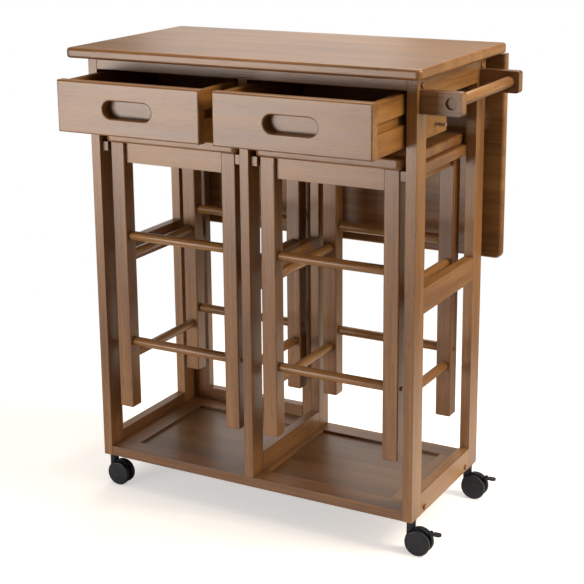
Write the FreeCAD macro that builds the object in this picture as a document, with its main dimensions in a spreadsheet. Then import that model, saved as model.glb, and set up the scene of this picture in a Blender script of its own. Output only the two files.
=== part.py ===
import FreeCAD, Part
import os
import re

import Sketcher
from FreeCAD import Placement, Rotation, Vector

# Kitchen island cart with a drop leaf, two drawers and two stowed stools.
# Units are millimetres. The origin is on the floor under the centre of the frame: +X runs to the
# towel rail end, +Y to the drop leaf at the back, +Z up. The cart stands with its drawers pulled
# out, its leaf hanging and its stools hung on their cleats.

doc = FreeCAD.newDocument("island_cart")

# ---------------------------------------------------------------- driving dimensions
SIZES = [
    # frame
    ("frame_width", 636), ("frame_depth", 295), ("foot_height", 62), ("board", 18),
    ("board_wide", 38), ("total_height", 841), ("top_thick", 18),
    ("overhang_left", 14), ("overhang_right", 26), ("overhang_front", 47.5),
    ("overhang_back", 26.5),
    ("top_corner", 9), ("top_edge", 5),
    ("apron_high", 24), ("notch", 2.5), ("side_top_rail_high", 45),
    ("mid_rail_low", 423), ("mid_rail_high", 43), ("side_rail_high", 39.5),
    ("base_thick", 19), ("panel_thick", 8), ("panel_recess", 5), ("centre_rail_high", 36),
    # towel rail
    ("arm_length", 71), ("arm_low", 762), ("arm_corner", 5), ("bar_radius", 9.5),
    ("bar_reach", 53), ("bar_height", 781.5), ("bar_clearance", 0.1), ("bar_recess", 5),
    # drop leaf and its hinges
    ("leaf_length", 371.3), ("leaf_corner", 12), ("pin_below_top", 2.4), ("leaf_gap", 0.3),
    ("hinge_width", 50), ("hinge_plate", 1.2), ("hinge_reach", 24), ("knuckle_radius", 2.2),
    ("knuckle_half", 8.8), ("knuckle_gap", 0.2), ("pin_radius", 1), ("pin_clearance", 0.05),
    ("hinge_spacing", 250),
    # swing support behind the left bay
    ("support_gap", 2.5), ("support_low", 67), ("support_high", 817), ("support_right", -12),
    ("support_width", 292), ("support_hinge_high", 60), ("support_hinge_edge", 130),
    # drawers
    ("drawer_pull", 120), ("drawer_front_width", 285), ("drawer_front_low", 707),
    ("drawer_front_high", 89.5), ("drawer_centre", 155), ("drawer_edge", 2.5),
    ("slot_length", 97), ("slot_high", 30), ("slot_edge", 3), ("box_width", 280),
    ("box_length", 279.5), ("box_side", 12), ("box_high", 87.5), ("bottom_thick", 4),
    ("bottom_rise", 6), ("groove_deep", 8), ("groove_low", 744), ("groove_high", 17),
    ("runner_high", 13.5), ("runner_deep", 12), ("runner_front", 19.5),
    ("peg_radius", 3), ("peg_length", 19), ("peg_back", 48), ("peg_height", 725),
    # stools
    ("stool_centre", 154.5), ("stool_back", -6), ("stool_low", 162), ("seat_under", 668.2),
    ("seat_thick", 19), ("seat_side", 275), ("seat_corner", 12), ("seat_edge", 4),
    ("stool_outer", 260), ("stool_leg", 28.5), ("stool_apron_high", 38),
    ("stool_apron_recess", 7), ("rung_radius", 8.5), ("rung_front_upper", 493),
    ("rung_front_lower", 290), ("rung_side_upper", 453), ("rung_side_lower", 259),
    ("cleat_deep", 13), ("cleat_high", 18), ("cleat_length", 280),
    # plugs over the frame screws
    ("plug_radius", 5), ("plug_proud", 3), ("plug_round", 2), ("plug_top_height", 806),
    ("plug_base_height", 71), ("plug_base_half", 93.5), ("stool_plug_radius", 4.5),
    ("stool_plug_proud", 2.4),
    # casters
    ("wheel_radius", 23), ("wheel_wide", 9), ("wheel_gap", 8.5), ("wheel_round", 3),
    ("wheel_bore", 6), ("caster_trail", 15),
    ("axle_radius", 2.5), ("axle_clearance", 0.05), ("hood_proud", 1.6),
    ("hood_start", 40), ("hood_span", 165), ("hood_wide", 7.5),
    ("boss_radius", 7), ("neck_radius", 8), ("neck_low", 8), ("neck_gap", 1), ("neck_top_gap", 0.4),
    ("stem_radius", 3.5), ("stem_long", 28), ("socket_radius", 6), ("socket_long", 30),
    ("collar_radius", 9), ("collar_high", 2.5), ("lever_across", 21.5), ("lever_up", 19.3),
    ("lever_long", 19), ("lever_wide", 12), ("lever_thick", 3), ("lever_tongue", 3.4),
    ("lever_neck", 4.5), ("barrel_radius", 2.3), ("lever_pin_radius", 1), ("ear_radius", 3.8),
    ("ear_gap", 0.3), ("ear_thick", 1.7),
]

sheet = doc.addObject("Spreadsheet::Sheet", "Sizes")
for row, (alias, value) in enumerate(SIZES, start=1):
    sheet.set("A%d" % row, alias)
    sheet.set("B%d" % row, str(value))
    sheet.setAlias("B%d" % row, alias)
doc.recompute()

ALIASES = {alias for alias, value in SIZES}
VALUES = dict(SIZES)
PARTS = {}


def bound(text):
    """The expression with every sheet name in it pointed at the spreadsheet."""
    return re.sub(r"[a-z][a-z_]+", lambda m: "Sizes." + m[0] if m[0] in ALIASES else m[0], str(text))


def number(text):
    """The same expression's value in plain numbers, for shapes that Part builds directly."""
    return float(sheet_value(bound(text)))


def sheet_value(expression):
    value = sheet.evalExpression(expression)
    return getattr(value, "Value", value)


def put(piece, place):
    for axis, text in zip("xyz", place):
        piece.setExpression("Placement.Base." + axis, bound(text))


def keep(name, piece):
    """Records a finished sub-part under the name of its node."""
    piece.Label = name
    PARTS[name] = piece
    return piece


# Expressions that several sub-parts share.
LEFT, RIGHT = "(-frame_width/2)", "(frame_width/2)"
FRONT, BACK = "(-frame_depth/2)", "(frame_depth/2)"
UNDER_TOP = "(total_height-top_thick)"
BETWEEN_LEGS = "(frame_depth-2*board_wide)"
RAIL_FRONT = "(board_wide-frame_depth/2)"
APRON_LOW = "(total_height-top_thick-apron_high)"
BASE_TOP = "(foot_height+base_thick)"
TOP_BACK = "(frame_depth/2+overhang_back)"
TOP_WIDTH = "(frame_width+overhang_left+overhang_right)"
PIN_HEIGHT = "(total_height-top_thick-pin_below_top)"


# ---------------------------------------------------------------- small builders
def board(name, place, size):
    """A plain rectangular board with its low corner at place."""
    piece = doc.addObject("Part::Box", name)
    for side, text in zip(("Length", "Width", "Height"), size):
        piece.setExpression(side, bound(text))
    put(piece, place)
    return piece


def rod(name, place, direction, radius, length):
    """A round rod that starts at place and runs along direction (X, Y or Z)."""
    turns = {"X": Rotation(Vector(0, 1, 0), 90), "Y": Rotation(Vector(1, 0, 0), -90), "Z": Rotation()}
    piece = doc.addObject("Part::Cylinder", name)
    piece.Placement = Placement(Vector(), turns[direction])
    piece.setExpression("Radius", bound(radius))
    piece.setExpression("Height", bound(length))
    put(piece, place)
    return piece


def group(name, pieces):
    """Several separate solids that make one node."""
    made = doc.addObject("Part::Compound", name)
    made.Links = pieces
    return made


def cut(name, base, tools):
    made = doc.addObject("Part::Cut", name)
    made.Base = base
    if len(tools) > 1:
        joined = doc.addObject("Part::MultiFuse", name + "_tools")
        joined.Shapes = tools
        made.Tool = joined
    else:
        made.Tool = tools[0]
    return made


def fuse(name, pieces):
    made = doc.addObject("Part::MultiFuse", name)
    made.Shapes = pieces
    return made


def plane_of(body, role):
    return next(f for f in body.Origin.OriginFeatures if f.Role == role)


def add_rectangle(sketch, corner, size):
    """A rectangle whose low corner and sides are bound to the sheet."""
    x, y, w, d = [number(t) for t in (*corner, *size)]
    points = [Vector(x, y), Vector(x + w, y), Vector(x + w, y + d), Vector(x, y + d)]
    for i in range(4):
        sketch.addGeometry(Part.LineSegment(points[i], points[(i + 1) % 4]), False)
    for i in range(4):
        sketch.addConstraint(Sketcher.Constraint("Coincident", i, 2, (i + 1) % 4, 1))
        sketch.addConstraint(Sketcher.Constraint("Horizontal" if i % 2 == 0 else "Vertical", i))
    sizes = (("wide", "DistanceX", (0, 1, 0, 2), w, size[0]),
             ("deep", "DistanceY", (1, 1, 1, 2), d, size[1]),
             ("across", "DistanceX", (-1, 1, 0, 1), x, corner[0]),
             ("along", "DistanceY", (-1, 1, 0, 1), y, corner[1]))
    for label, kind, ends, value, text in sizes:
        index = sketch.addConstraint(Sketcher.Constraint(kind, *ends, value))
        sketch.renameConstraint(index, label)
        sketch.setExpression("Constraints." + label, bound(text))


def slab(name, place, size):
    """A PartDesign body: a rectangle padded upwards, with its low corner at place."""
    body = doc.addObject("PartDesign::Body", name)
    sketch = body.newObject("Sketcher::SketchObject", name + "_outline")
    sketch.AttachmentSupport = (plane_of(body, "XY_Plane"), [""])
    sketch.MapMode = "FlatFace"
    add_rectangle(sketch, ("0", "0"), size[:2])
    pad = body.newObject("PartDesign::Pad", name + "_pad")
    pad.Profile = sketch
    pad.setExpression("Length", bound(size[2]))
    put(body, place)
    doc.recompute()
    return body


def round_edges(body, label, radius, wanted):
    """Fillets the edges of the body's tip for which wanted(edge, bound box of the solid) is true."""
    tip = body.Tip
    box = tip.Shape.BoundBox
    names = ["Edge%d" % i for i, e in enumerate(tip.Shape.Edges, start=1) if wanted(e, box)]
    fillet = body.newObject("PartDesign::Fillet", body.Name + label)
    fillet.Base = (tip, names)
    fillet.setExpression("Radius", bound(radius))
    doc.recompute()
    return fillet


def upright(edge, box):
    """Edges along Z that span the whole height."""
    return abs(edge.BoundBox.ZLength - box.ZLength) < 1e-4


def level(edge, box):
    """Edges that lie in the top or bottom face."""
    flat = edge.BoundBox.ZLength < 1e-4
    return flat and min(abs(edge.BoundBox.ZMin - box.ZMin), abs(edge.BoundBox.ZMax - box.ZMax)) < 1e-4


def round_rim(name, base, radius, wanted):
    """Fillets the edges of a primitive for which wanted(edge) is true."""
    doc.recompute()
    rims = [i for i, e in enumerate(base.Shape.Edges, start=1) if wanted(e)]
    made = doc.addObject("Part::Fillet", name)
    made.Base = base
    made.Edges = [(i, number(radius), number(radius)) for i in rims]
    return made


# ---------------------------------------------------------------- top and leaf
def make_top():
    top = slab("tabletop", (LEFT + "-overhang_left", FRONT + "-overhang_front", UNDER_TOP),
               (TOP_WIDTH, "frame_depth+overhang_front+overhang_back", "top_thick"))

    def front_upright(edge, box):
        return upright(edge, box) and edge.BoundBox.YMax < box.Center.y

    def open_level(edge, box):
        """Every level edge but those of the joint with the leaf."""
        return level(edge, box) and edge.BoundBox.YMin < box.YMax - 1
    round_edges(top, "_corners", "top_corner", front_upright)
    round_edges(top, "_edges", "top_edge", open_level)
    keep("tabletop", top)

    leaf = slab("drop_leaf", (LEFT + "-overhang_left", TOP_BACK + "+pin_below_top",
                              PIN_HEIGHT + "-leaf_gap-leaf_length"),
                (TOP_WIDTH, "top_thick", "leaf_length"))

    def free_corner(edge, box):
        """The two corners at the free (low) end, whose edges run through the thickness."""
        return abs(edge.BoundBox.YLength - box.YLength) < 1e-4 and edge.BoundBox.ZMax < box.Center.z

    def open_side(edge, box):
        """Edges of the two broad faces, but for those at the hinged end."""
        return edge.BoundBox.YLength < 1e-4 and edge.BoundBox.ZMin < box.ZMax - 1
    round_edges(leaf, "_corners", "leaf_corner", free_corner)
    round_edges(leaf, "_edges", "top_edge", open_side)
    keep("drop_leaf", leaf)


def make_leaf_hinges():
    """Three butt hinges under the joint between top and leaf."""
    fixed, moving, pins = [], [], []
    end = "(hinge_width/2)"
    inner = "(knuckle_half+knuckle_gap)"
    for i, shift in enumerate(("-hinge_spacing", "0", "hinge_spacing")):
        tag = "%d" % (i + 1)
        along = "(%s)" % shift
        plate = board("fixed_plate_" + tag,
                      (along + "-" + end, TOP_BACK + "-hinge_reach", UNDER_TOP + "-hinge_plate"),
                      ("hinge_width", "hinge_reach-knuckle_radius-pin_clearance*6", "hinge_plate"))
        bits = [plate]
        for side, start in (("a", "-" + end), ("b", "+" + inner)):
            reach = "(hinge_width/2-knuckle_half-knuckle_gap)"
            bits.append(board("fixed_tongue_%s%s" % (side, tag),
                              (along + start, TOP_BACK + "-knuckle_radius*2", UNDER_TOP + "-hinge_plate"),
                              (reach, "knuckle_radius*2", "hinge_plate")))
            bits.append(rod("fixed_knuckle_%s%s" % (side, tag), (along + start, TOP_BACK, PIN_HEIGHT),
                            "X", "knuckle_radius", reach))
        bore = rod("fixed_bore_" + tag, (along + "-hinge_width", TOP_BACK, PIN_HEIGHT), "X",
                   "pin_radius+pin_clearance", "2*hinge_width")
        fixed.append(cut("fixed_hinge_" + tag, fuse("fixed_bits_" + tag, bits), [bore]))

        leaf_face = TOP_BACK + "+pin_below_top-hinge_plate"
        plate = board("moving_plate_" + tag,
                      (along + "-" + end, leaf_face, PIN_HEIGHT + "-hinge_reach"),
                      ("hinge_width", "hinge_plate", "hinge_reach-knuckle_radius-pin_clearance*6"))
        tongue = board("moving_tongue_" + tag,
                       (along + "-knuckle_half", leaf_face, PIN_HEIGHT + "-knuckle_radius*2"),
                       ("2*knuckle_half", "hinge_plate", "knuckle_radius*2"))
        knuckle = rod("moving_knuckle_" + tag, (along + "-knuckle_half", TOP_BACK, PIN_HEIGHT), "X",
                      "knuckle_radius", "2*knuckle_half")
        bore = rod("moving_bore_" + tag, (along + "-hinge_width", TOP_BACK, PIN_HEIGHT), "X",
                   "pin_radius+pin_clearance", "2*hinge_width")
        bits = fuse("moving_bits_" + tag, [plate, tongue, knuckle])
        moving.append(cut("moving_hinge_" + tag, bits, [bore]))
        pins.append(rod("hinge_pin_" + tag, (along + "-" + end, TOP_BACK, PIN_HEIGHT), "X",
                        "pin_radius", "hinge_width"))
    keep("leaf_hinge_fixed", group("leaf_hinge_fixed", fixed + pins))
    keep("leaf_hinge_moving", group("leaf_hinge_moving", moving))


# ---------------------------------------------------------------- frame
def make_legs():
    """Four legs with a socket for a caster stem in each foot."""
    sockets = []
    for side, x in (("left", LEFT), ("right", RIGHT + "-board")):
        for end, y in (("front", FRONT), ("rear", BACK + "-board_wide")):
            name = "%s_%s_leg" % (side, end)
            middle = (x + "+board/2", y + "+board_wide/2", "foot_height")
            post = board(name + "_post", (x, y, "foot_height"),
                         ("board", "board_wide", UNDER_TOP + "-foot_height"))
            hole = rod(name + "_hole", middle, "Z", "socket_radius", "socket_long")
            keep(name, cut(name, post, [hole]))
            under = (*middle[:2], "foot_height-collar_high")
            sleeve = rod(name + "_sleeve", middle, "Z", "socket_radius", "socket_long")
            collar = rod(name + "_collar", under, "Z", "collar_radius", "collar_high")
            bore = rod(name + "_bore", under, "Z", "stem_radius+axle_clearance", "socket_long+collar_high")
            sockets.append(cut(name + "_socket", fuse(name + "_bush", [sleeve, collar]), [bore]))
    keep("caster_sockets", group("caster_sockets", sockets))


def make_side_rails():
    rails = (("side_top_rails", UNDER_TOP + "-side_top_rail_high", "side_top_rail_high"),
             ("side_mid_rails", "mid_rail_low", "mid_rail_high"),
             ("side_bottom_rails", "foot_height", "side_rail_high"))
    for name, low, high in rails:
        pair = [board("%s_%s" % (name, side), (x, RAIL_FRONT, low), ("board", BETWEEN_LEGS, high))
                for side, x in (("left", LEFT), ("right", RIGHT + "-board"))]
        keep(name, group(name, pair))


def make_aprons():
    """Front and rear top rails, laid flat under the top and notched for the centre posts."""
    for name, y in (("front_apron", FRONT), ("rear_apron", BACK + "-board_wide")):
        rail = board(name + "_rail", (LEFT + "+board", y, APRON_LOW),
                     ("frame_width-2*board", "board_wide", "apron_high"))
        seat = board(name + "_notch", ("-board/2", y, APRON_LOW), ("board", "board_wide", "notch"))
        keep(name, cut(name, rail, [seat]))


def make_base():
    """The flat base: front and rear rails, three stiles and two recessed shelf panels."""
    for name, y in (("base_front_rail", FRONT), ("base_rear_rail", BACK + "-board_wide")):
        rail = board(name + "_rail", (LEFT + "+board", y, "foot_height"),
                     ("frame_width-2*board", "board_wide", "base_thick"))
        seat = board(name + "_notch", ("-board/2", y, BASE_TOP + "-notch"), ("board", "board_wide", "notch"))
        keep(name, cut(name, rail, [seat]))
    stiles = [board("base_stile_%s" % side, (x, RAIL_FRONT, "foot_height"),
                    ("board_wide", BETWEEN_LEGS, "base_thick"))
              for side, x in (("left", LEFT + "+board"), ("centre", "-board_wide/2"),
                              ("right", RIGHT + "-board-board_wide"))]
    keep("base_stiles", group("base_stiles", stiles))
    panel_low = BASE_TOP + "-panel_recess-panel_thick"
    panel_wide = "(frame_width/2-board-1.5*board_wide)"
    panels = [board("shelf_panel_%s" % side, (x, RAIL_FRONT, panel_low),
                    (panel_wide, BETWEEN_LEGS, "panel_thick"))
              for side, x in (("left", LEFT + "+board+board_wide"), ("right", "board_wide/2"))]
    keep("shelf_panels", group("shelf_panels", panels))


def make_centre_frame():
    """The frame between the two bays. Its posts stand in the notches of base and aprons."""
    for name, y in (("centre_front_post", FRONT), ("centre_rear_post", BACK + "-board_wide")):
        keep(name, board(name, ("-board/2", y, BASE_TOP + "-notch"),
                         ("board", "board_wide", APRON_LOW + "-" + BASE_TOP + "+2*notch")))
    middle = board("centre_rail_mid", ("-board/2", RAIL_FRONT, "mid_rail_low"),
                   ("board", BETWEEN_LEGS, "mid_rail_high"))
    upper = board("centre_rail_top", ("-board/2", RAIL_FRONT, UNDER_TOP + "-side_top_rail_high"),
                  ("board", BETWEEN_LEGS, "side_top_rail_high"))
    lower = board("centre_rail_bottom", ("-board/2", RAIL_FRONT, BASE_TOP),
                  ("board", BETWEEN_LEGS, "centre_rail_high"))
    keep("centre_rails", group("centre_rails", [lower, middle, upper]))


def make_cleats_and_runners():
    """Cleats that carry the stool seats, and runners that fit the grooves of the drawers."""
    cleats, runners = [], []
    deep = {"cleat": "cleat_deep", "runner": "runner_deep"}
    for kind, made in (("cleat", cleats), ("runner", runners)):
        places = (("far_left", LEFT + "+board"), ("near_left", "-board/2-" + deep[kind]),
                  ("near_right", "board/2"), ("far_right", RIGHT + "-board-" + deep[kind]))
        for tag, x in places:
            if kind == "cleat":
                low, size = "seat_under-0.2-cleat_high", ("cleat_deep", "cleat_length", "cleat_high")
                y = "-cleat_length/2"
            else:
                low = "groove_low+(groove_high-runner_high)/2"
                size = ("runner_deep", "frame_depth-runner_front", "runner_high")
                y = FRONT + "+runner_front"
            made.append(board("%s_%s" % (kind, tag), (x, y, low), size))
    keep("stool_cleats", group("stool_cleats", cleats))
    keep("drawer_runners", group("drawer_runners", runners))


def make_towel_rail():
    """Two arms on the right legs with a dowel through both."""
    arms = []
    for tag, y in (("front", FRONT), ("rear", BACK + "-board_wide")):
        arm = slab("towel_arm_" + tag, (RIGHT, y + "+(board_wide-board)/2", "arm_low"),
                   ("arm_length", "board", "board_wide"))

        def outer_corner(edge, box):
            across = abs(edge.BoundBox.YLength - box.YLength) < 1e-4
            return across and edge.BoundBox.XMin > box.Center.x
        round_edges(arm, "_corners", "arm_corner", outer_corner)
        hole = rod("towel_arm_hole_" + tag, (RIGHT + "+bar_reach", y, "bar_height"), "Y",
                   "bar_radius+bar_clearance", "board_wide")
        arms.append(cut("towel_arm_cut_" + tag, arm, [hole]))
    keep("towel_arms", group("towel_arms", arms))
    start = (RIGHT + "+bar_reach", FRONT + "+(board_wide-board)/2+bar_recess", "bar_height")
    keep("towel_bar", rod("towel_bar", start, "Y", "bar_radius",
                          "frame_depth-board_wide+board-2*bar_recess"))


def button(name, place, direction, radius, proud):
    """A short plug whose outer rim is rounded. direction is +1 towards +X and -1 towards -X."""
    start = place[0] if direction > 0 else place[0] + "-" + proud
    plug = rod(name + "_blank", (start, place[1], place[2]), "X", radius, proud)

    def outer(edge):
        middle = plug.Shape.BoundBox.Center.x
        return edge.BoundBox.XLength < 1e-6 and (edge.BoundBox.XMin - middle) * direction > 0
    return round_rim(name, plug, "plug_round", outer)


def make_plugs():
    """Button plugs over the screws of the side frames, on both outer faces."""
    plugs = []
    spots = (("top_front", FRONT + "+board_wide/2", "plug_top_height"),
             ("top_rear", BACK + "-board_wide/2", "plug_top_height"),
             ("base_front", "-plug_base_half", "plug_base_height"),
             ("base_rear", "plug_base_half", "plug_base_height"))
    for side, x, direction in (("left", LEFT, -1), ("right", RIGHT, 1)):
        for tag, y, z in spots:
            plugs.append(button("plug_%s_%s" % (side, tag), (x, y, z), direction,
                                "plug_radius", "plug_proud"))
    keep("frame_plugs", group("frame_plugs", plugs))


def make_leaf_support():
    """The swing frame that folds against the back of the left bay, and its two hinges."""
    left = "(support_right-support_width)"
    y = BACK + "+support_gap"
    tall = "(support_high-support_low)"
    stiles = [board("support_stile_" + tag, (x, y, "support_low"), ("board_wide", "board", tall))
              for tag, x in (("left", left), ("right", "support_right-board_wide"))]
    rails = [board("support_rail_" + tag, (left + "+board_wide", y, z),
                   ("support_width-2*board_wide", "board", "board_wide"))
             for tag, z in (("low", "support_low"), ("high", "support_high-board_wide"))]
    keep("support_stiles", group("support_stiles", stiles))
    keep("support_rails", group("support_rails", rails))
    hinges = []
    for tag, z in (("low", "support_low+support_hinge_edge"),
                   ("high", "support_high-support_hinge_edge-support_hinge_high")):
        axis = ("(support_right+board/6)", BACK + "+hinge_plate+knuckle_radius")
        on_post = board("support_plate_post_" + tag, (axis[0], BACK, z),
                        ("board", "hinge_plate", "support_hinge_high"))
        on_gate = board("support_plate_gate_" + tag, ("support_right", y, z),
                        ("hinge_plate", "board", "support_hinge_high"))
        knuckle = rod("support_knuckle_" + tag, (*axis, z), "Z", "knuckle_radius", "support_hinge_high")
        hinges.append(fuse("support_hinge_" + tag, [on_post, on_gate, knuckle]))
    keep("support_hinges", group("support_hinges", hinges))


# ---------------------------------------------------------------- drawers
def add_slot(body, name):
    """A long slot with round ends through the drawer front, for the fingers."""
    sketch = body.newObject("Sketcher::SketchObject", name + "_slot")
    sketch.AttachmentSupport = (plane_of(body, "XZ_Plane"), [""])
    sketch.MapMode = "FlatFace"
    radius = number("slot_high/2")
    half = number("slot_length/2-slot_high/2")
    x, z = number("drawer_front_width/2"), number("drawer_front_high/2")
    lines = [((-half, -radius), (half, -radius)), ((half, radius), (-half, radius))]
    for start, stop in lines:
        ends = [Vector(x + across, z + up) for across, up in (start, stop)]
        sketch.addGeometry(Part.LineSegment(*ends))
    quarter = 1.5707963267948966
    for at, first in ((half, -quarter), (-half, quarter)):
        circle = Part.Circle(Vector(x + at, z), Vector(0, 0, 1), radius)
        sketch.addGeometry(Part.ArcOfCircle(circle, first, first + 2 * quarter))
    for joint in ((0, 2, 2, 1), (2, 2, 1, 1), (1, 2, 3, 1), (3, 2, 0, 1)):
        sketch.addConstraint(Sketcher.Constraint("Tangent", *joint))
    sketch.addConstraint(Sketcher.Constraint("Horizontal", 0))
    for label, kind, ends, value, text in (
            ("slot_ends", "Radius", (2,), radius, "slot_high/2"),
            ("slot_run", "DistanceX", (0, 1, 0, 2), 2 * half, "slot_length-slot_high"),
            ("slot_across", "DistanceX", (-1, 1, 3, 3), x - half,
             "(drawer_front_width-slot_length+slot_high)/2"),
            ("slot_up", "DistanceY", (-1, 1, 3, 3), z, "drawer_front_high/2")):
        index = sketch.addConstraint(Sketcher.Constraint(kind, *ends, value))
        sketch.renameConstraint(index, label)
        sketch.setExpression("Constraints." + label, bound(text))
    pocket = body.newObject("PartDesign::Pocket", name + "_slot_cut")
    pocket.Profile = sketch
    pocket.Type = "ThroughAll"
    pocket.Midplane = True
    doc.recompute()


def make_drawer(side, sign):
    """One drawer. sign is -1 on the left and 1 on the right."""
    centre = "(%d*drawer_centre)" % sign
    face = "(-frame_depth/2-drawer_pull)"
    name = side + "_drawer"
    front = slab(name + "_front", (centre + "-drawer_front_width/2", face, "drawer_front_low"),
                 ("drawer_front_width", "board", "drawer_front_high"))
    solid = front.Tip.Shape.Volume
    add_slot(front, name)
    lost = solid - front.Tip.Shape.Volume
    full = number("(slot_length-slot_high)*slot_high*board") + 3.14159 * number("slot_high^2/4*board")
    assert abs(lost - full) < 0.01 * full, "the finger slot isn't cut through"

    def show_face(edge, box):
        """Edges of the face that shows, both its outline and the mouth of the slot."""
        return edge.BoundBox.YMax < box.YMin + 1e-4
    round_edges(front, "_edges", "drawer_edge", show_face)
    keep(name + "_front", front)

    box_y = face + "+board"
    low = "drawer_front_low-0.5"
    sides = []
    for tag, x, groove in (("a", "-box_width/2", ""),
                           ("b", "+box_width/2-box_side", "+box_side-groove_deep")):
        wall = board("%s_side_%s" % (name, tag), (centre + x, box_y, low),
                     ("box_side", "box_length", "box_high"))
        slot = board("%s_groove_%s" % (name, tag), (centre + x + groove, box_y, "groove_low"),
                     ("groove_deep", "box_length", "groove_high"))
        sides.append(cut("%s_side_cut_%s" % (name, tag), wall, [slot]))
    keep(name + "_sides", group(name + "_sides", sides))
    inside = centre + "-box_width/2+box_side"
    ends = [board("%s_end_%s" % (name, tag), (inside, y, low),
                  ("box_width-2*box_side", "box_side", "box_high"))
            for tag, y in (("front", box_y), ("back", box_y + "+box_length-box_side"))]
    keep(name + "_ends", group(name + "_ends", ends))
    keep(name + "_bottom", board(name + "_bottom", (inside, box_y + "+box_side", low + "+bottom_rise"),
                                 ("box_width-2*box_side", "box_length-2*box_side", "bottom_thick")))
    outer = centre + ("+box_width/2" if sign > 0 else "-box_width/2-peg_length")
    start = (outer, box_y + "+box_length-peg_back", "peg_height")
    keep(name + "_stop_peg", rod(name + "_stop_peg", start, "X", "peg_radius", "peg_length"))


# ---------------------------------------------------------------- stools
def make_stool(side, sign):
    """One square stool: seat, four legs, four aprons, eight round rungs."""
    name = side + "_stool"
    cx, cy = "(%d*stool_centre)" % sign, "stool_back"
    seat = slab(name + "_seat", (cx + "-seat_side/2", cy + "-seat_side/2", "seat_under"),
                ("seat_side", "seat_side", "seat_thick"))
    round_edges(seat, "_corners", "seat_corner", upright)
    round_edges(seat, "_edges", "seat_edge", level)
    keep(name + "_seat", seat)

    legs, aprons, rungs = [], [], []
    half = "stool_outer/2"
    ends = (("low", "-" + half), ("high", "+" + half + "-stool_leg"))
    for tag_x, x in ends:
        for tag_y, y in ends:
            legs.append(board("%s_leg_%s_%s" % (name, tag_x, tag_y), (cx + x, cy + y, "stool_low"),
                              ("stool_leg", "stool_leg", "seat_under-stool_low")))
    between = "stool_outer-2*stool_leg"
    start = "-" + half + "+stool_leg"
    apron_low = "seat_under-stool_apron_high"
    recess = (("low", "-" + half + "+stool_apron_recess"),
              ("high", "+" + half + "-stool_apron_recess-board"))
    middle = (("low", "-" + half + "+stool_leg/2"), ("high", "+" + half + "-stool_leg/2"))
    for tag, off in recess:
        aprons.append(board("%s_apron_x_%s" % (name, tag), (cx + start, cy + off, apron_low),
                            (between, "board", "stool_apron_high")))
        aprons.append(board("%s_apron_y_%s" % (name, tag), (cx + off, cy + start, apron_low),
                            ("board", between, "stool_apron_high")))
    for tag, off in middle:
        for level_name in ("upper", "lower"):
            rungs.append(rod("%s_rung_x_%s_%s" % (name, tag, level_name),
                             (cx + start, cy + off, "rung_front_" + level_name),
                             "X", "rung_radius", between))
            rungs.append(rod("%s_rung_y_%s_%s" % (name, tag, level_name),
                             (cx + off, cy + start, "rung_side_" + level_name),
                             "Y", "rung_radius", between))
    plugs = []
    for tag_x, x, direction in (("low", "-" + half, -1), ("high", "+" + half, 1)):
        for tag_y, y in middle:
            plugs.append(button("%s_plug_%s_%s" % (name, tag_x, tag_y),
                                (cx + x, cy + y, "rung_front_lower"), direction,
                                "stool_plug_radius", "stool_plug_proud"))
    keep(name + "_plugs", group(name + "_plugs", plugs))
    keep(name + "_legs", group(name + "_legs", legs))
    keep(name + "_aprons", group(name + "_aprons", aprons))
    keep(name + "_rungs", group(name + "_rungs", rungs))


# ---------------------------------------------------------------- casters
def disc(name, hub, radius, wide, start="0", span="360"):
    """A disc, or a sector of one, centred on the hub with its axis along Y.

    start and span are degrees, counted upwards from +X.
    """
    piece = doc.addObject("Part::Cylinder", name)
    turn = Rotation(Vector(1, 0, 0), 90) * Rotation(Vector(0, 0, 1), number(start))
    piece.Placement = Placement(Vector(), turn)
    piece.setExpression("Radius", bound(radius))
    piece.setExpression("Height", bound(wide))
    piece.setExpression("Angle", bound(span))
    put(piece, (hub[0], "%s+(%s)/2" % (hub[1], wide), hub[2]))
    return piece


def make_wheel(name, hub, y, inward):
    """One wheel with round shoulders, bored from its inner face, on its own centre line at y."""
    tread = disc(name + "_tread", (hub[0], y, hub[2]), "wheel_radius", "wheel_wide")
    tyre = round_rim(name + "_tyre", tread, "wheel_round", lambda e: e.BoundBox.YLength < 1e-6)
    inner = "%s%s(wheel_wide-wheel_bore)/2" % (y, inward)
    bore = disc(name + "_bore", (hub[0], inner, hub[2]), "axle_radius", "wheel_bore")
    return cut(name, tyre, [bore])


def make_lever(name, pivot):
    """A brake lever: a barrel on its pin, a tongue between the ears and a wide round-ended tab."""
    barrel = disc(name + "_barrel", pivot, "barrel_radius", "lever_tongue")
    low = pivot[2] + "-lever_thick/2"
    tongue = board(name + "_tongue", (pivot[0], pivot[1] + "-lever_tongue/2", low),
                   ("lever_neck+1", "lever_tongue", "lever_thick"))
    tab = board(name + "_tab", (pivot[0] + "+lever_neck", pivot[1] + "-lever_wide/2", low),
                ("lever_long-lever_neck-lever_wide/2", "lever_wide", "lever_thick"))
    tip = rod(name + "_tip", (pivot[0] + "+lever_long-lever_wide/2", pivot[1], low), "Z",
              "lever_wide/2", "lever_thick")
    bore = disc(name + "_bore", pivot, "lever_pin_radius+axle_clearance", "lever_tongue")
    return cut(name, fuse(name + "_bits", [barrel, tongue, tab, tip]), [bore])


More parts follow.
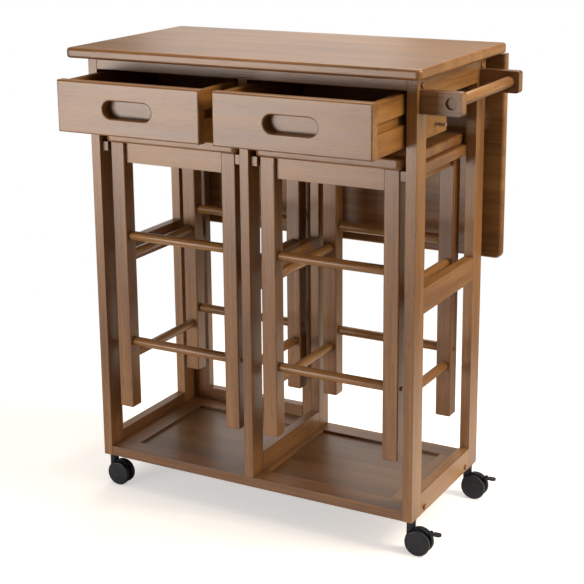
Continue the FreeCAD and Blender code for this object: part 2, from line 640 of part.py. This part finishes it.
def make_caster(side, end, braked):
    """A twin-wheel caster trailing to +X: fork between the wheels, stem, two wheels on an axle, brake."""
    name = "caster_%s_%s" % (side, end)
    stem_x = "(%s(frame_width-board)/2)" % ("" if side == "right" else "-")
    hub_y = "(%s(frame_depth-board_wide)/2)" % ("" if end == "rear" else "-")
    hub = (stem_x + "+caster_trail", hub_y, "wheel_radius")
    outer = "wheel_radius+hood_proud"
    whole = "2*wheel_wide+wheel_gap"
    neck_top = "(foot_height-collar_high-neck_top_gap)"

    neck = cut(name + "_neck",
               rod(name + "_neck_full", (stem_x, hub_y, "wheel_radius+neck_low"), "Z", "neck_radius",
                   neck_top + "-wheel_radius-neck_low"),
               [disc(name + "_neck_space", hub, "wheel_radius+neck_gap", whole)])
    bits = [neck,
            disc(name + "_web", hub, outer, "hood_wide", "hood_start", "hood_span"),
            disc(name + "_boss", hub, "boss_radius", "hood_wide"),
            rod(name + "_stem", (stem_x, hub_y, neck_top + "-neck_low"), "Z", "stem_radius",
                "stem_long+neck_low")]
    pivot = (hub[0] + "+lever_across", hub_y, "wheel_radius+lever_up")
    if braked:
        for tag, sign in (("front", "-"), ("rear", "+")):
            y = hub_y + sign + "(lever_tongue+ear_thick+2*ear_gap)/2"
            bits.append(disc(name + "_ear_" + tag, (pivot[0], y, pivot[2]), "ear_radius", "ear_thick"))
        bits.append(disc(name + "_lever_pin", pivot, "lever_pin_radius", "lever_tongue+ear_thick"))
    fork = cut(name + "_fork", fuse(name + "_fork_bits", bits),
               [disc(name + "_axle_bore", hub, "axle_radius+axle_clearance", whole)])
    keep(name + "_fork", fork)

    pair = [make_wheel("%s_wheel_%s" % (name, tag), hub,
                       hub_y + sign + "(wheel_gap+wheel_wide)/2", back)
            for tag, sign, back in (("front", "-", "+"), ("rear", "+", "-"))]
    axle = disc(name + "_axle", hub, "axle_radius", "wheel_gap+2*wheel_bore")
    keep(name + "_wheels", group(name + "_wheels", pair + [axle]))

    if braked:
        keep(name + "_brake_lever", make_lever(name + "_brake_lever", pivot))


# ---------------------------------------------------------------- build
make_top()
make_leaf_hinges()
make_legs()
make_side_rails()
make_aprons()
make_base()
make_centre_frame()
make_cleats_and_runners()
make_towel_rail()
make_plugs()
make_leaf_support()
for side_name, side_sign in (("left", -1), ("right", 1)):
    make_drawer(side_name, side_sign)
    make_stool(side_name, side_sign)
    for end_name in ("front", "rear"):
        make_caster(side_name, end_name, braked=side_name == "right")
doc.recompute()

broken = [o.Label for o in doc.Objects if {"Invalid", "Error"} & set(o.State)]
assert not broken, "failed objects: %s" % broken
for node, part in PARTS.items():
    assert not part.Shape.isNull() and part.Shape.isValid(), "bad shape: " + node
assert len(PARTS) <= 60, "too many nodes"

os.makedirs("parts", exist_ok=True)
for node, part in PARTS.items():
    part.Shape.exportStep("parts/%s.step" % node)
print(len(PARTS), "nodes,", sum(len(p.Shape.Solids) for p in PARTS.values()), "solids")
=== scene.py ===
import math

import bmesh
import bpy
from mathutils import Matrix, Vector

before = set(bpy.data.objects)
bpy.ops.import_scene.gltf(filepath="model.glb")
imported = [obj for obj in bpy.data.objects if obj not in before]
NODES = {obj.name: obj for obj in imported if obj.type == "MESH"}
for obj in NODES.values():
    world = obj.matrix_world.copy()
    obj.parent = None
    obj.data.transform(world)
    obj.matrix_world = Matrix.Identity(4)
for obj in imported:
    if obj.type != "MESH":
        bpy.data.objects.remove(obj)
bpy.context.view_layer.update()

# Metres throughout, in the frame's own axes: +X to the towel rail, +Y to the drop leaf, +Z up.
AXES = "XYZ"

# A Mix node holds the sockets of all its data types. These are the ones for colours.
MIX_FACTOR, MIX_FIRST, MIX_SECOND, MIX_RESULT = 0, 6, 7, 2
SHADING_RAYS = 4


# ---------------------------------------------------------------- node helpers
class Maker:
    """Adds shader nodes to one material and links them by name."""

    def __init__(self, name):
        self.material = bpy.data.materials.new(name)
        self.material.use_nodes = True
        self.tree = self.material.node_tree
        self.tree.nodes.clear()
        self.output = self.add("ShaderNodeOutputMaterial")
        self.shader = self.add("ShaderNodeBsdfPrincipled")
        self.link(self.shader, "BSDF", self.output, "Surface")

    def add(self, kind):
        return self.tree.nodes.new(kind)

    def link(self, start, out, end, into):
        self.tree.links.new(start.outputs[out], end.inputs[into])

    def constants(self, values):
        """Sets the shader's own sockets, from a table of socket names and values."""
        for socket, value in values.items():
            self.shader.inputs[socket].default_value = value

    def position(self, scale):
        """Object coordinates, stretched by scale."""
        where = self.add("ShaderNodeTexCoord")
        mapping = self.add("ShaderNodeMapping")
        mapping.inputs["Scale"].default_value = scale
        self.link(where, "Object", mapping, "Vector")
        return mapping

    def noise(self, vector, scale, detail, rough=0.55, distortion=0.0):
        node = self.add("ShaderNodeTexNoise")
        node.inputs["Scale"].default_value = scale
        node.inputs["Detail"].default_value = detail
        node.inputs["Roughness"].default_value = rough
        node.inputs["Distortion"].default_value = distortion
        self.link(vector, "Vector", node, "Vector")
        return node

    def ramp(self, source, out, stops):
        """A colour ramp. stops are (position, colour)."""
        node = self.add("ShaderNodeValToRGB")
        ramp = node.color_ramp
        while len(ramp.elements) < len(stops):
            ramp.elements.new(0.5)
        for element, (place, colour) in zip(ramp.elements, stops):
            element.position = place
            element.color = (*colour, 1.0)
        self.link(source, out, node, "Fac")
        return node

    def span(self, source, out, low, high, new_low, new_high):
        """Carries the values from low to high over to new_low to new_high."""
        node = self.add("ShaderNodeMapRange")
        limits = {"From Min": low, "From Max": high, "To Min": new_low, "To Max": new_high}
        for socket, value in limits.items():
            node.inputs[socket].default_value = value
        self.link(source, out, node, "Value")
        return node

    def math(self, operation, first, second):
        """A Math node. Each of first and second is a number or (node, output)."""
        node = self.add("ShaderNodeMath")
        node.operation = operation
        for socket, value in enumerate((first, second)):
            if isinstance(value, tuple):
                self.link(*value, node, socket)
            else:
                node.inputs[socket].default_value = value
        return node

    def mix(self, kind, factor, first, second):
        """A colour mix. factor is a number or (node, output).

        Each of first and second is a colour or (node, output).
        """
        node = self.add("ShaderNodeMix")
        node.data_type = "RGBA"
        node.blend_type = kind
        for socket, value in ((MIX_FACTOR, factor), (MIX_FIRST, first), (MIX_SECOND, second)):
            if isinstance(value, tuple) and len(value) == 2:
                self.link(*value, node, socket)
            elif socket == MIX_FACTOR:
                node.inputs[socket].default_value = value
            else:
                node.inputs[socket].default_value = (*value, 1.0)
        return node

    def bump(self, height, out, strength, distance):
        node = self.add("ShaderNodeBump")
        node.inputs["Strength"].default_value = strength
        node.inputs["Distance"].default_value = distance
        self.link(height, out, node, "Height")
        self.link(node, "Normal", self.shader, "Normal")
        return node

    def bevel_into(self, bump, radius):
        """Softens edges in shading only, and hands the rounded normal to the bump."""
        bevel = self.add("ShaderNodeBevel")
        bevel.samples = SHADING_RAYS
        bevel.inputs["Radius"].default_value = radius
        self.link(bevel, "Normal", bump, "Normal")


# ---------------------------------------------------------------- wood
# Each set of tones is (pore, dark, middle, light).
TEAK = ((0.055, 0.019, 0.005), (0.135, 0.052, 0.013), (0.228, 0.098, 0.025), (0.325, 0.156, 0.044))
GOLDEN = ((0.08, 0.028, 0.006), (0.15, 0.058, 0.011), (0.25, 0.108, 0.021), (0.34, 0.160, 0.034))
REDDISH = ((0.09, 0.022, 0.006), (0.19, 0.060, 0.016), (0.28, 0.095, 0.026), (0.36, 0.135, 0.042))
# Painted shade: the shelf panels are the frame's teak darkened, for the shade they lie in inside the
# frame.
PANEL_PAINTED_SHADE = 0.60
PANEL = tuple(tuple(c * PANEL_PAINTED_SHADE for c in tone) for tone in TEAK)

# Each noise is its detail, roughness and distortion, then how often it changes in a metre
# along and across the grain.
RINGS = (3.0, 0.5, 0.6, 1.6, 26.0)
STREAKS = (6.0, 0.62, 0.25, 5.0, 170.0)
PORES = (3.0, 0.55, 0.0, 34.0, 760.0)
CLOUD = (2.0, 0.5, 0.0, 3.0, 5.0)

# A board's tone is a weighted sum of noises, which the ramp turns into dark, middle and light.
RING_WEIGHT, STREAK_WEIGHT, CLOUD_WEIGHT = 0.50, 0.44, 0.34
TONE_SHIFT = -0.06
TONE_STOPS = (0.44, 0.58, 0.72)
PORE_FROM, PORE_TO, PORE_STRENGTH = 0.57, 0.70, 0.62
PORE_DEPTH = 0.8

# Each wood material starts this far along from the one before, by different amounts per axis.
GRAIN_STEP = 3.1
STEP_RATIOS = (1.0, 1.7, 2.3)

# Staves are counted from a number well above zero. Each takes its grain from up to
# STAVE_JUMP metres away, and its tone differs by up to STAVE_SPREAD.
STAVE_START = 37.0
STAVE_JUMP = 3.0
STAVE_SPREAD = 0.05

# Painted shade: the colour is darkened in corners tighter than this reach, down to this darkest
# factor, as if shadow gathered there.
CORNER_SHADE_REACH = 0.012
CORNER_SHADE_DARKEST = 0.72
SHADING_EDGE = 0.0014


def stave_coordinates(m, across, width, offset):
    """Object coordinates that jump at each stave, and a random number for each stave."""
    where = m.add("ShaderNodeTexCoord")
    split = m.add("ShaderNodeSeparateXYZ")
    m.link(where, "Object", split, "Vector")
    count = m.math("MULTIPLY", (split, across), 1.0 / width)
    count = m.math("ADD", (count, 0), STAVE_START + offset)
    number = m.math("FLOOR", (count, 0), 0.0)
    pick = m.add("ShaderNodeTexWhiteNoise")
    pick.noise_dimensions = "1D"
    m.link(number, 0, pick, "W")
    jump = m.math("MULTIPLY", (pick, "Value"), STAVE_JUMP)
    joined = m.add("ShaderNodeCombineXYZ")
    for axis in AXES:
        m.link(jump, 0, joined, axis)
    moved = m.add("ShaderNodeVectorMath")
    moved.operation = "ADD"
    m.link(where, "Object", moved, 0)
    m.link(joined, 0, moved, 1)
    return moved, pick


def wood(name, axis, tones=TEAK, offset=0.0, shade=0.0, staves=None, coat=0.8, rough=0.42):
    """Satin lacquered hardwood with its grain along axis. A positive shade is a lighter board.

    staves is (axis across the staves, stave width) for a face glued up from several strips.
    """
    m = Maker(name)
    if staves:
        start, pick = stave_coordinates(m, *staves, offset)
        out = 0
    else:
        start = m.add("ShaderNodeTexCoord")
        out = "Object"

    def field(detail, roughness, distortion, along, across):
        scale = [across, across, across]
        scale[AXES.index(axis)] = along
        mapping = m.add("ShaderNodeMapping")
        mapping.inputs["Location"].default_value = [offset * ratio for ratio in STEP_RATIOS]
        mapping.inputs["Scale"].default_value = scale
        m.link(start, out, mapping, "Vector")
        return m.noise(mapping, 1.0, detail, roughness, distortion)

    rings, streaks, pores, cloud = [field(*numbers) for numbers in (RINGS, STREAKS, PORES, CLOUD)]
    body = m.math("MULTIPLY", (rings, "Fac"), RING_WEIGHT)
    fine = m.math("MULTIPLY", (streaks, "Fac"), STREAK_WEIGHT)
    patch = m.math("MULTIPLY", (cloud, "Fac"), CLOUD_WEIGHT)
    tone = m.math("ADD", (body, 0), (fine, 0))
    tone = m.math("ADD", (tone, 0), (patch, 0))
    tone = m.math("ADD", (tone, 0), shade + TONE_SHIFT)
    if staves:
        own = m.span(pick, "Value", 0.0, 1.0, -STAVE_SPREAD, STAVE_SPREAD)
        tone = m.math("ADD", (tone, 0), (own, 0))
    pore_tone, *board_tones = tones
    base = m.ramp(tone, 0, list(zip(TONE_STOPS, board_tones)))
    pore = m.span(pores, "Fac", PORE_FROM, PORE_TO, 0.0, PORE_STRENGTH)
    grained = m.mix("MIX", (pore, 0), (base, 0), pore_tone)

    # Painted shade: ambient occlusion darkens the base colour in corners and crevices.
    corner = m.add("ShaderNodeAmbientOcclusion")
    corner.samples = SHADING_RAYS
    corner.inputs["Distance"].default_value = CORNER_SHADE_REACH
    corner_shade = m.span(corner, "AO", low=0.35, high=1.0, new_low=CORNER_SHADE_DARKEST, new_high=1.0)
    corner_shaded = m.mix("MULTIPLY", 1.0, (grained, MIX_RESULT), (corner_shade, 0))
    m.link(corner_shaded, MIX_RESULT, m.shader, "Base Color")

    gloss = m.span(streaks, "Fac", low=0.3, high=0.7, new_low=rough - 0.05, new_high=rough + 0.07)
    m.link(gloss, 0, m.shader, "Roughness")
    dip = m.math("MULTIPLY", (pore, 0), PORE_DEPTH)
    height = m.math("SUBTRACT", (streaks, "Fac"), (dip, 0))
    bump = m.bump(height, 0, strength=0.16, distance=0.0004)
    m.bevel_into(bump, SHADING_EDGE)
    m.constants({"Coat Weight": coat, "Coat Roughness": 0.30, "Coat IOR": 1.5})
    return m.material


# ---------------------------------------------------------------- plastic and steel
def plastic(name, colour, rough, speckle=260.0):
    """Moulded plastic with a fine textured skin and paler, rougher scuffs."""
    m = Maker(name)
    where = m.position((1, 1, 1))
    skin = m.noise(where, scale=speckle * 4, detail=3.0)
    wear = m.noise(where, scale=speckle * 0.25, detail=5.0, rough=0.6)
    scuffed = tuple(c * 1.7 + 0.006 for c in colour)
    shade = m.ramp(wear, "Fac", [(0.35, colour), (0.75, scuffed)])
    m.link(shade, 0, m.shader, "Base Color")
    gloss = m.span(wear, "Fac", low=0.3, high=0.7, new_low=rough - 0.06, new_high=rough + 0.08)
    m.link(gloss, 0, m.shader, "Roughness")
    bump = m.bump(skin, "Fac", strength=0.12, distance=0.0002)
    m.bevel_into(bump, radius=0.0008)
    m.constants({"Specular IOR Level": 0.36})
    return m.material


def metal(name, colour, rough):
    """Plated steel with drawn lines and slight tarnish."""
    m = Maker(name)
    lines = m.noise(m.position((25, 900, 900)), scale=1.0, detail=4.0)
    tarnish = m.noise(m.position((1, 1, 1)), scale=90.0, detail=5.0)
    dulled = tuple(c * 0.62 for c in colour)
    shade = m.ramp(tarnish, "Fac", [(0.35, dulled), (0.65, colour)])
    m.link(shade, 0, m.shader, "Base Color")
    gloss = m.span(lines, "Fac", low=0.3, high=0.7, new_low=rough - 0.08, new_high=rough + 0.1)
    m.link(gloss, 0, m.shader, "Roughness")
    m.bump(lines, "Fac", strength=0.1, distance=0.0002)
    m.constants({"Metallic": 1.0})
    return m.material


STEEL = metal("hinge_steel", (0.55, 0.48, 0.38), 0.34)
PEG_STEEL = metal("axle_steel", (0.60, 0.60, 0.62), 0.30)
BLACK = plastic("caster_black", (0.004, 0.007, 0.015), 0.36)
TYRE = plastic("caster_tread", (0.005, 0.008, 0.016), 0.40, speckle=420.0)


# ---------------------------------------------------------------- which finish goes where
# Arguments of wood() for each kind. A kind that isn't here is plain frame timber.
KINDS = {
    "drawer_box": {"tones": GOLDEN, "coat": 0.2, "rough": 0.45},
    "drawer_inside": {"coat": 0.2, "rough": 0.5},
    "plug": {"tones": REDDISH},
    "tabletop": {"staves": ("Y", 0.062), "coat": 0.6, "rough": 0.40},
    "drop_leaf": {"staves": ("Z", 0.062), "coat": 0.6, "rough": 0.40},
    "seat": {"staves": ("Y", 0.055), "coat": 0.6, "rough": 0.40},
    "panel": {"staves": ("Y", 0.07), "tones": PANEL},
}

# How much lighter the nodes with these endings are. This is mostly painted light and shade:
# the turned dowels are painted lightest and the posts and stool aprons a little less so, for the
# light that falls on them, though the rungs are partly paler wood as well; the towel arms are
# painted darker for the drawers' shadow, and the base for the dim light low down.
SHADES = {"towel_bar": 0.11, "rungs": 0.09, "aprons": 0.04, "post": 0.05,
          "towel_arms": -0.08, "base_front_rail": -0.08, "base_stiles": -0.03}
BOARD_SPREAD = 0.03

woods = {}


def wood_for(axis, kind, shade=0.0):
    """One wood material per direction, kind and shade, made when first asked for."""
    label = "wood_%s_%s_%03d" % (kind, axis.lower(), round(500 + 1000 * shade))
    if label not in woods:
        offset = GRAIN_STEP * len(woods)
        woods[label] = wood(label, axis, offset=offset, shade=shade, **KINDS.get(kind, {}))
    return woods[label]


def shade_of(node):
    return next((shade for ending, shade in SHADES.items() if node.endswith(ending)), 0.0)


def finish_of(node):
    """The finish of a CAD node, from its name: a material, or the kind of wood its boards are."""
    if node == "caster_sockets" or node.endswith(("_fork", "_lever")):
        return BLACK
    if node.endswith("_wheels"):
        return TYRE
    if "hinge" in node:
        return STEEL
    if "plugs" in node:
        return wood_for("Z", "plug")
    if node.endswith("stop_peg"):
        return PEG_STEEL
    if node in ("tabletop", "drop_leaf"):
        return wood_for("X", node)
    if node.endswith("seat"):
        return wood_for("X", "seat")
    if node == "shelf_panels":
        return wood_for("X", "panel")
    if node.endswith("drawer_front"):
        return wood_for("X", "frame")
    if node.endswith("drawer_sides"):
        return "drawer_box"
    if node.endswith("drawer_bottom"):
        return "drawer_inside"
    return "frame"


# ---------------------------------------------------------------- boards
CORNER_STEPS = 20000    # corners are told apart to 1/20000 m
BOARD_EASE = 0.0011
STOOL_LEG_EASE = 0.0022


def boards_of(mesh):
    """Sorts a mesh's polygons into its separate solids, by the places of their corners."""
    parent = {}

    def root(key):
        while parent[key] != key:
            parent[key] = parent[parent[key]]
            key = parent[key]
        return key

    keys = [tuple(round(c * CORNER_STEPS) for c in v.co) for v in mesh.vertices]
    for key in keys:
        parent.setdefault(key, key)
    for polygon in mesh.polygons:
        first = root(keys[polygon.vertices[0]])
        for index in polygon.vertices[1:]:
            parent[root(keys[index])] = first
    solids = {}
    for polygon in mesh.polygons:
        solids.setdefault(root(keys[polygon.vertices[0]]), []).append(polygon)
    return solids.values()


def longest_axis(mesh, polygons):
    corners = [mesh.vertices[i].co for polygon in polygons for i in polygon.vertices]
    spans = [max(c[k] for c in corners) - min(c[k] for c in corners) for k in range(3)]
    return AXES[spans.index(max(spans))]


def dress(obj, kind, shade):
    """Gives each board of a CAD node a wood of its own shade, with the grain along the board.

    The boards take a darker, a lighter and a middle shade in turn. The first one's turn comes
    from the size of the mesh, so that it isn't the same in every node.
    """
    mesh = obj.data
    mesh.materials.clear()
    slots = {}
    for number, polygons in enumerate(boards_of(mesh), len(mesh.vertices)):
        axis = longest_axis(mesh, polygons)
        step = number * 2 % 3 - 1
        if (axis, step) not in slots:
            slots[axis, step] = len(mesh.materials)
            mesh.materials.append(wood_for(axis, kind, shade + BOARD_SPREAD * step))
        for polygon in polygons:
            polygon.material_index = slots[axis, step]


def ease_edges(obj, width):
    """Rounds a board's sharp arrises, as sanding does."""
    weld = obj.modifiers.new("weld", "WELD")
    weld.merge_threshold = 0.00001
    bevel = obj.modifiers.new("eased_edges", "BEVEL")
    bevel.width = width
    bevel.segments = 2
    bevel.limit_method = "ANGLE"
    bevel.angle_limit = math.radians(50)
    bevel.harden_normals = True


def dress_nodes():
    for name, obj in NODES.items():
        finish = finish_of(name)
        if isinstance(finish, str):
            # Painted light and shade: shade_of lightens or darkens whole nodes for the light that
            # falls on them.
            dress(obj, finish, shade_of(name))
            ease_edges(obj, STOOL_LEG_EASE if name.endswith("stool_legs") else BOARD_EASE)
        else:
            obj.data.materials.clear()
            obj.data.materials.append(finish)
            for polygon in obj.data.polygons:
                polygon.material_index = 0


# ---------------------------------------------------------------- studio
FLOOR_HALF = 2.2
FADE_FROM, FADE_TO = 0.5, 1.35    # distances from the object's middle at which the floor fades
FLOOR_GLOW = 0.5

WORLD_COLOUR = (1.0, 0.88, 0.74)
WORLD_STRENGTH = 0.22

# name, place, what it faces, size, watts, colour
LIGHTS = (
    ("key_front_left", (-1.45, -2.6, 0.42), (0, 0, 0.5), (1.6, 0.8), 42, (1.0, 0.89, 0.80)),
    ("side_right", (2.7, 0.5, 1.4), (0, 0, 0.6), (1.3, 1.5), 28, (1.0, 0.86, 0.70)),
    ("side_right_high", (2.3, 0.2, 2.4), (0, 0, 0.6), (1.2, 1.2), 64, (1.0, 0.86, 0.68)),
    ("sheen_side", (1.45, 2.5, 0.4), (0, 0, 0.4), (1.5, 0.7), 2.1, (1.0, 0.75, 0.40)),
    ("top", (0.3, 0.0, 3.2), (0, 0, 0.45), (2.4, 2.2), 38, (1.0, 0.83, 0.67)),
    ("back_high", (-0.9, 2.6, 3.1), (0, 0, 0.45), (2.2, 1.6), 38, (1.0, 0.92, 0.79)),
    ("back_low", (-1.75, 3.1, 1.25), (0, 0, 0.45), (1.1, 0.7), 2.0, (0.95, 0.97, 1.0)),
)

# The camera stands in front of the cart, to its right, and looks a little down on it.
CAMERA_PLACE = (1.21285, -2.20407, 1.15288)
CAMERA_YAW, CAMERA_PITCH, CAMERA_ROLL = (math.radians(a) for a in (29.930, -14.116, -0.806))
CAMERA_SENSOR_MM = 36.0
CAMERA_LENS_MM = 88.434
CAMERA_SHIFT = (0.056, -0.12)
CAMERA_NEAR, CAMERA_FAR = 0.05, 60.0


def floor_material():
    """A pale floor that fades into the white backdrop away from the object."""
    m = Maker("studio_floor")
    where = m.position((1, 1, 1))
    tone = m.noise(where, scale=3.0, detail=2.0)
    shade = m.ramp(tone, "Fac", [(0.3, (0.84, 0.84, 0.84)), (0.7, (0.86, 0.86, 0.858))])
    m.link(shade, 0, m.shader, "Base Color")
    m.constants({"Roughness": 0.85, "Specular IOR Level": 0.1, "Emission Color": (1.0, 1.0, 1.0, 1.0)})
    path = m.add("ShaderNodeLightPath")
    glow = m.math("MULTIPLY", (path, "Is Camera Ray"), FLOOR_GLOW)
    m.link(glow, 0, m.shader, "Emission Strength")
    reach = m.add("ShaderNodeVectorMath")
    reach.operation = "LENGTH"
    m.link(where, 0, reach, 0)
    fade = m.span(reach, "Value", FADE_FROM, FADE_TO, 0.0, 1.0)
    fade.interpolation_type = "SMOOTHSTEP"
    clear = m.add("ShaderNodeBsdfTransparent")
    choose = m.add("ShaderNodeMixShader")
    m.link(fade, 0, choose, 0)
    m.link(m.shader, 0, choose, 1)
    m.link(clear, 0, choose, 2)
    m.link(choose, 0, m.output, "Surface")
    return m.material


def make_floor():
    mesh = bpy.data.meshes.new("floor")
    shape = bmesh.new()
    bmesh.ops.create_grid(shape, x_segments=8, y_segments=8, size=FLOOR_HALF)
    shape.to_mesh(mesh)
    shape.free()
    floor = bpy.data.objects.new("floor", mesh)
    bpy.context.scene.collection.objects.link(floor)
    mesh.materials.append(floor_material())


def area_light(name, place, target, size, watts, colour):
    data = bpy.data.lights.new(name, "AREA")
    data.shape = "RECTANGLE"
    data.size, data.size_y = size
    data.energy = watts
    data.color = colour
    lamp = bpy.data.objects.new(name, data)
    lamp.location = place
    lamp.rotation_mode = "QUATERNION"
    lamp.rotation_quaternion = (Vector(target) - Vector(place)).to_track_quat("-Z", "Y")
    bpy.context.scene.collection.objects.link(lamp)


def make_world():
    """A dim warm surround, which the camera itself sees as plain white."""
    world = bpy.data.worlds.new("studio")
    bpy.context.scene.world = world
    world.use_nodes = True
    tree = world.node_tree
    lit = tree.nodes["Background"]
    lit.inputs["Color"].default_value = (*WORLD_COLOUR, 1.0)
    lit.inputs["Strength"].default_value = WORLD_STRENGTH
    seen = tree.nodes.new("ShaderNodeBackground")
    seen.inputs["Color"].default_value = (1.0, 1.0, 1.0, 1.0)
    seen.inputs["Strength"].default_value = 1.0
    path = tree.nodes.new("ShaderNodeLightPath")
    choose = tree.nodes.new("ShaderNodeMixShader")
    tree.links.new(path.outputs["Is Camera Ray"], choose.inputs[0])
    tree.links.new(lit.outputs[0], choose.inputs[1])
    tree.links.new(seen.outputs[0], choose.inputs[2])
    tree.links.new(choose.outputs[0], tree.nodes["World Output"].inputs[0])


def make_camera():
    data = bpy.data.cameras.new("camera")
    camera = bpy.data.objects.new("camera", data)
    bpy.context.scene.collection.objects.link(camera)
    bpy.context.scene.camera = camera
    level = Vector((-math.sin(CAMERA_YAW), math.cos(CAMERA_YAW), 0))
    forward = level * math.cos(CAMERA_PITCH) + Vector((0, 0, math.sin(CAMERA_PITCH)))
    right = forward.cross(Vector((0, 0, 1))).normalized()
    up = right.cross(forward)
    side = right * math.cos(CAMERA_ROLL) + up * math.sin(CAMERA_ROLL)
    over = up * math.cos(CAMERA_ROLL) - right * math.sin(CAMERA_ROLL)
    turn = Matrix((side, over, -forward)).transposed().to_4x4()
    camera.matrix_world = Matrix.Translation(CAMERA_PLACE) @ turn
    data.sensor_width = CAMERA_SENSOR_MM
    data.lens = CAMERA_LENS_MM
    data.shift_x, data.shift_y = CAMERA_SHIFT
    data.clip_start, data.clip_end = CAMERA_NEAR, CAMERA_FAR


dress_nodes()
make_floor()
make_world()
for light in LIGHTS:
    area_light(*light)
make_camera()
bpy.context.scene.view_settings.view_transform = "Standard"
